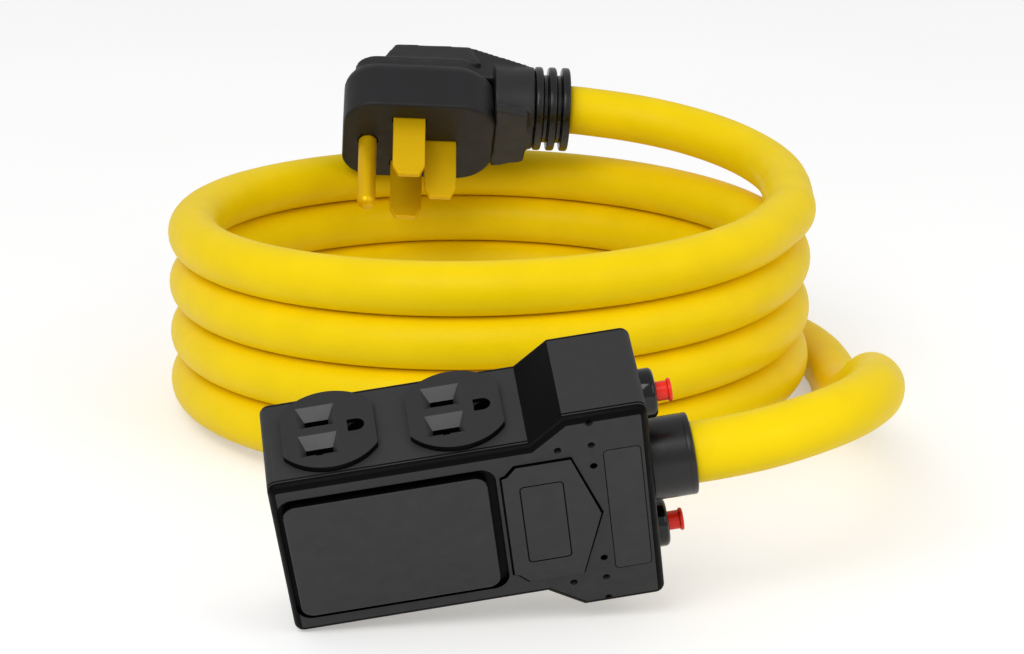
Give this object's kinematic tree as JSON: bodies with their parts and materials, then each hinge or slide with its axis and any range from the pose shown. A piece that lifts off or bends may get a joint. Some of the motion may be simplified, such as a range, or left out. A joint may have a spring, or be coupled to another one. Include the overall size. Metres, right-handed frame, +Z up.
{
  "type": "shore power cord",
  "caption": "Thick yellow coiled power cord with a right-angle four-blade plug and a black T-shaped outlet box with receptacles and reset buttons.",
  "frame": {"origin": "on the floor, under the middle of the outlet box as it stands tilted in front of the coil", "axes": "+X to the cord end of the box, -Y towards the viewer's side with the box's front, +Z up"},
  "size_m": [0.2648, 0.4097, 0.1231],
  "materials": {
    "housing_black": "moulded, satin",
    "panel_black": "moulded, fine texture",
    "outlet_black": "moulded, semi-gloss",
    "breaker_black": "gloss",
    "button_red": "semi-gloss",
    "plug_black": "moulded, fine texture",
    "relief_black": "rubber, satin",
    "cord_yellow": "smooth jacket, satin",
    "blade_brass": "polished",
    "contact_brass": "plain",
    "carrier_white": "plain",
    "screw_steel": "zinc plated",
    "clamp_grey": "plain",
    "wire_black": "insulation",
    "wire_red": "insulation",
    "wire_white": "insulation",
    "wire_green": "insulation"
  },
  "bodies": {
    "cord_set": {"rear_housing": "housing_black", "front_cover": "housing_black", "front_panel": "panel_black", "badge_plate": "panel_black", "label_plate": "panel_black", "outlet_left_x": "outlet_black", "outlet_right_x": "outlet_black", "outlet_left_y": "outlet_black", "outlet_right_y": "outlet_black", "contact_carrier": "carrier_white", "hot_bus_x": "contact_brass", "hot_bus_y": "contact_brass", "neutral_bus": "contact_brass", "ground_bus": "contact_brass", "breaker_x": "breaker_black", "breaker_y": "breaker_black", "bezel_nut_x": "breaker_black", "bezel_nut_y": "breaker_black", "feed_wire_x": "wire_black", "feed_wire_y": "wire_red", "load_wire_x": "wire_black", "load_wire_y": "wire_red", "neutral_wire": "wire_white", "ground_wire": "wire_green", "cord_boss": "relief_black", "cord_clamp": "clamp_grey", "clamp_screws": "screw_steel", "housing_screws": "screw_steel", "cord_end_box": "cord_yellow", "cord_tail": "cord_yellow", "cord_coil": "cord_yellow", "cord_lead": "cord_yellow", "cord_end_plug": "cord_yellow", "plug_strain_relief": "relief_black", "plug_body": "plug_black", "plug_face": "plug_black", "blade_carrier": "carrier_white", "hot_blade_x": "blade_brass", "hot_blade_y": "blade_brass", "neutral_blade": "blade_brass", "ground_pin": "blade_brass"},
    "reset_button_x": {"reset_button_x": "button_red"},
    "reset_button_y": {"reset_button_y": "button_red"}
  },
  "joints": [
    {"name": "reset_x_press", "type": "slide", "parent": "cord_set", "child": "reset_button_x", "axis": [0.9869, 0.073, 0.1441], "range_m": [-0.003, 0], "stiffness_N_per_m": 400},
    {"name": "reset_y_press", "type": "slide", "parent": "cord_set", "child": "reset_button_y", "axis": [0.9869, 0.073, 0.1441], "range_m": [-0.003, 0], "stiffness_N_per_m": 400}
  ]
}
